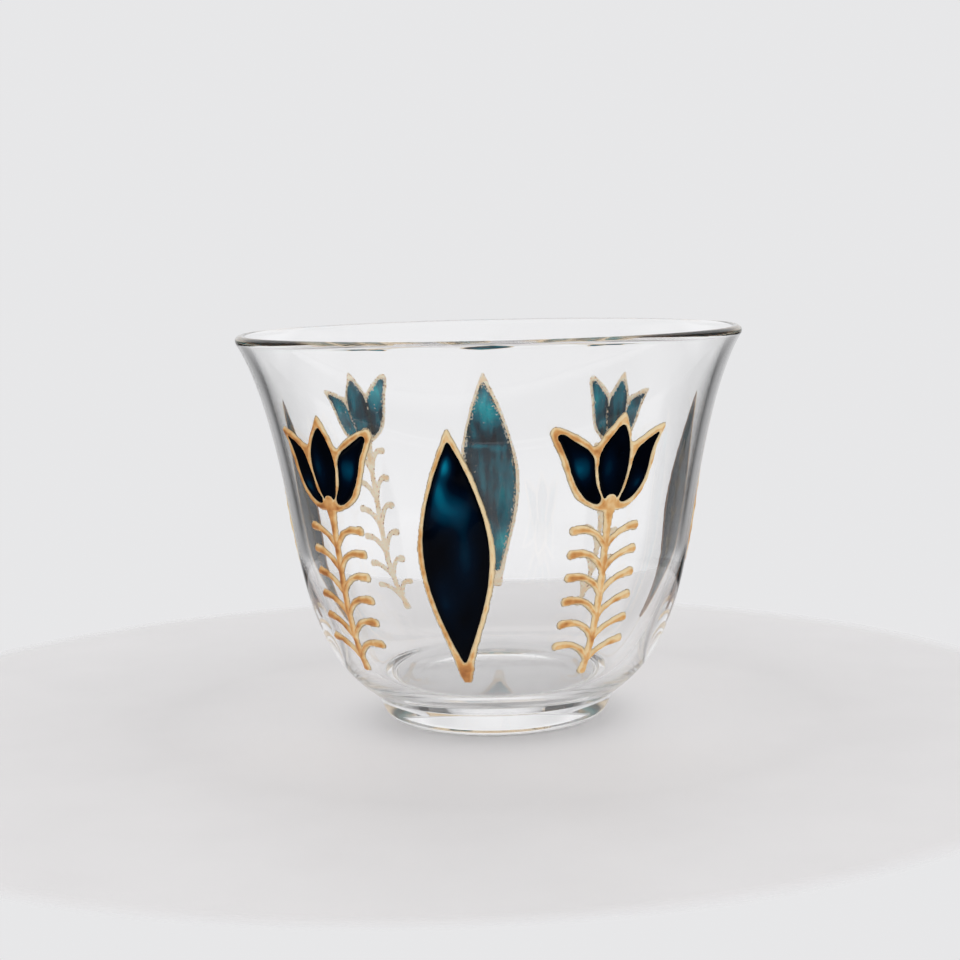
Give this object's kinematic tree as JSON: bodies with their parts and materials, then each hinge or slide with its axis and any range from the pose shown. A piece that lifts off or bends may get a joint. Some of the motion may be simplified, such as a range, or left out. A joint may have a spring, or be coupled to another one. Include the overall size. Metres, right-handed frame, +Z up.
{
  "type": "tulip glass",
  "caption": "Small flared coffee glass with a thick foot, painted round the outside with tulips and pointed leaves in raised gold line and teal paint.",
  "frame": {"origin": "centre of the foot, on the surface that the glass stands on", "axes": "+Z up along the glass's axis; the front leaf faces -Y; +X is on its right"},
  "size_m": [0.075, 0.075, 0.0583],
  "materials": {
    "clear_glass": "clear, fire-polished",
    "gold_line": "satin gold relief paint",
    "teal_paint": "glossy translucent glass paint"
  },
  "bodies": {
    "root": {"glass_body": "clear_glass", "front_leaf_gold_line": "gold_line", "front_leaf_teal_paint": "teal_paint", "right_leaf_gold_line": "gold_line", "right_leaf_teal_paint": "teal_paint", "back_leaf_gold_line": "gold_line", "back_leaf_teal_paint": "teal_paint", "left_leaf_gold_line": "gold_line", "left_leaf_teal_paint": "teal_paint", "front_left_tulip_gold_line": "gold_line", "front_left_tulip_broad_petal_paint": "teal_paint", "front_left_tulip_centre_petal_paint": "teal_paint", "front_left_tulip_slim_petal_paint": "teal_paint", "front_right_tulip_gold_line": "gold_line", "front_right_tulip_broad_petal_paint": "teal_paint", "front_right_tulip_centre_petal_paint": "teal_paint", "front_right_tulip_slim_petal_paint": "teal_paint", "back_right_tulip_gold_line": "gold_line", "back_right_tulip_broad_petal_paint": "teal_paint", "back_right_tulip_centre_petal_paint": "teal_paint", "back_right_tulip_slim_petal_paint": "teal_paint", "back_left_tulip_gold_line": "gold_line", "back_left_tulip_broad_petal_paint": "teal_paint", "back_left_tulip_centre_petal_paint": "teal_paint", "back_left_tulip_slim_petal_paint": "teal_paint"}
  },
  "joints": []
}
